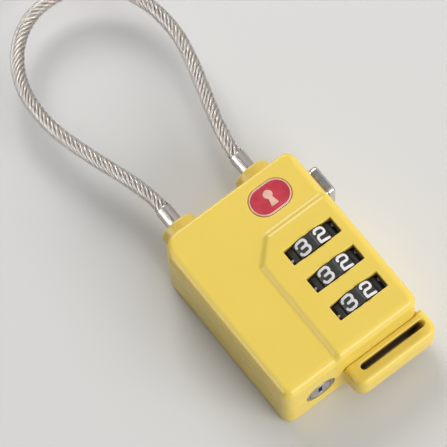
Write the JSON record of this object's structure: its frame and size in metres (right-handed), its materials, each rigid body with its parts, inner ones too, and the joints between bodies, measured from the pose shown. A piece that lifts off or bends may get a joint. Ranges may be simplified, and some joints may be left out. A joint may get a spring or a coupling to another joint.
{
  "type": "cable luggage lock",
  "caption": "Combination luggage lock with a steel cable loop, number dials, a push button to release the plug, an override key cylinder and a strap slot.",
  "frame": {"origin": "on the housing's flat back face, midway between the two ends of the cable and 20 mm from the bottom wall", "axes": "+X across the housing to the release button, +Y towards the cable loop, +Z out of the front face"},
  "size_m": [0.0367, 0.1052, 0.0171],
  "materials": {
    "housing": "smooth moulded yellow plastic with a soft gloss",
    "badge": "glossy red enamel with a pale rim",
    "dial": "black satin plastic with off-white figures",
    "brass": "turned",
    "steel": "plain",
    "chrome": "bright plating",
    "zinc": "die-cast zinc alloy",
    "cylinder": "nickel-plated brass, dull",
    "cable": "stranded steel wire in a clear sheath"
  },
  "bodies": {
    "housing": {"front_shell": "housing", "rear_shell": "housing", "housing_rivets": "steel", "badge": "badge", "detent_spring": "steel", "spindle_spring": "steel", "button_spring": "steel", "plug_catch_clip": "steel", "cable": "cable", "fixed_ferrule": "chrome", "cable_anchor": "zinc", "cylinder_body": "zinc"},
    "first_dial": {"dial_1": "dial", "dial_sleeve_1": "brass"},
    "second_dial": {"dial_2": "dial", "dial_sleeve_2": "brass"},
    "third_dial": {"dial_3": "dial", "dial_sleeve_3": "brass"},
    "spindle": {"dial_spindle": "steel", "spindle_clip": "steel"},
    "button": {"release_button": "chrome", "latch_slider": "zinc"},
    "plug": {"locking_plug": "chrome"},
    "key_core": {"cylinder_core": "cylinder", "cylinder_wafers": "brass", "cylinder_cam": "zinc", "cam_screw": "steel"}
  },
  "joints": [
    {"name": "dial_1_spin", "type": "hinge", "parent": "housing", "child": "first_dial", "pos_m": [0.00775, 0.0022, 0.0099], "axis": [0, 1, 0], "continuous": true, "deforming": ["detent_spring"]},
    {"name": "dial_2_spin", "type": "hinge", "parent": "housing", "child": "second_dial", "pos_m": [0.00775, -0.00495, 0.0099], "axis": [0, 1, 0], "continuous": true},
    {"name": "dial_3_spin", "type": "hinge", "parent": "housing", "child": "third_dial", "pos_m": [0.00775, -0.0121, 0.0099], "axis": [0, 1, 0], "continuous": true},
    {"name": "button_press", "type": "slide", "parent": "housing", "child": "button", "axis": [-1, 0, 0], "range_m": [0, 0.002], "stiffness_N_per_m": 600, "springref_m": -0.002, "deforming": ["button_spring", "plug_catch_clip"]},
    {"name": "spindle_shift", "type": "slide", "parent": "housing", "child": "spindle", "axis": [0, -1, 0], "range_m": [0, 0.0012], "deforming": ["spindle_spring"]},
    {"name": "plug_slide", "type": "slide", "parent": "housing", "child": "plug", "axis": [0, 1, 0], "range_m": [0, 0.0135], "deforming": ["cable"]},
    {"name": "key_turn", "type": "hinge", "parent": "housing", "child": "key_core", "pos_m": [-0.0077, -0.015, 0.0068], "axis": [0, 1, 0], "range_deg": [0, 90]}
  ],
  "couplings": [
    {"joint": "spindle_shift", "follows": "button_press", "ratio": 0.6}
  ]
}
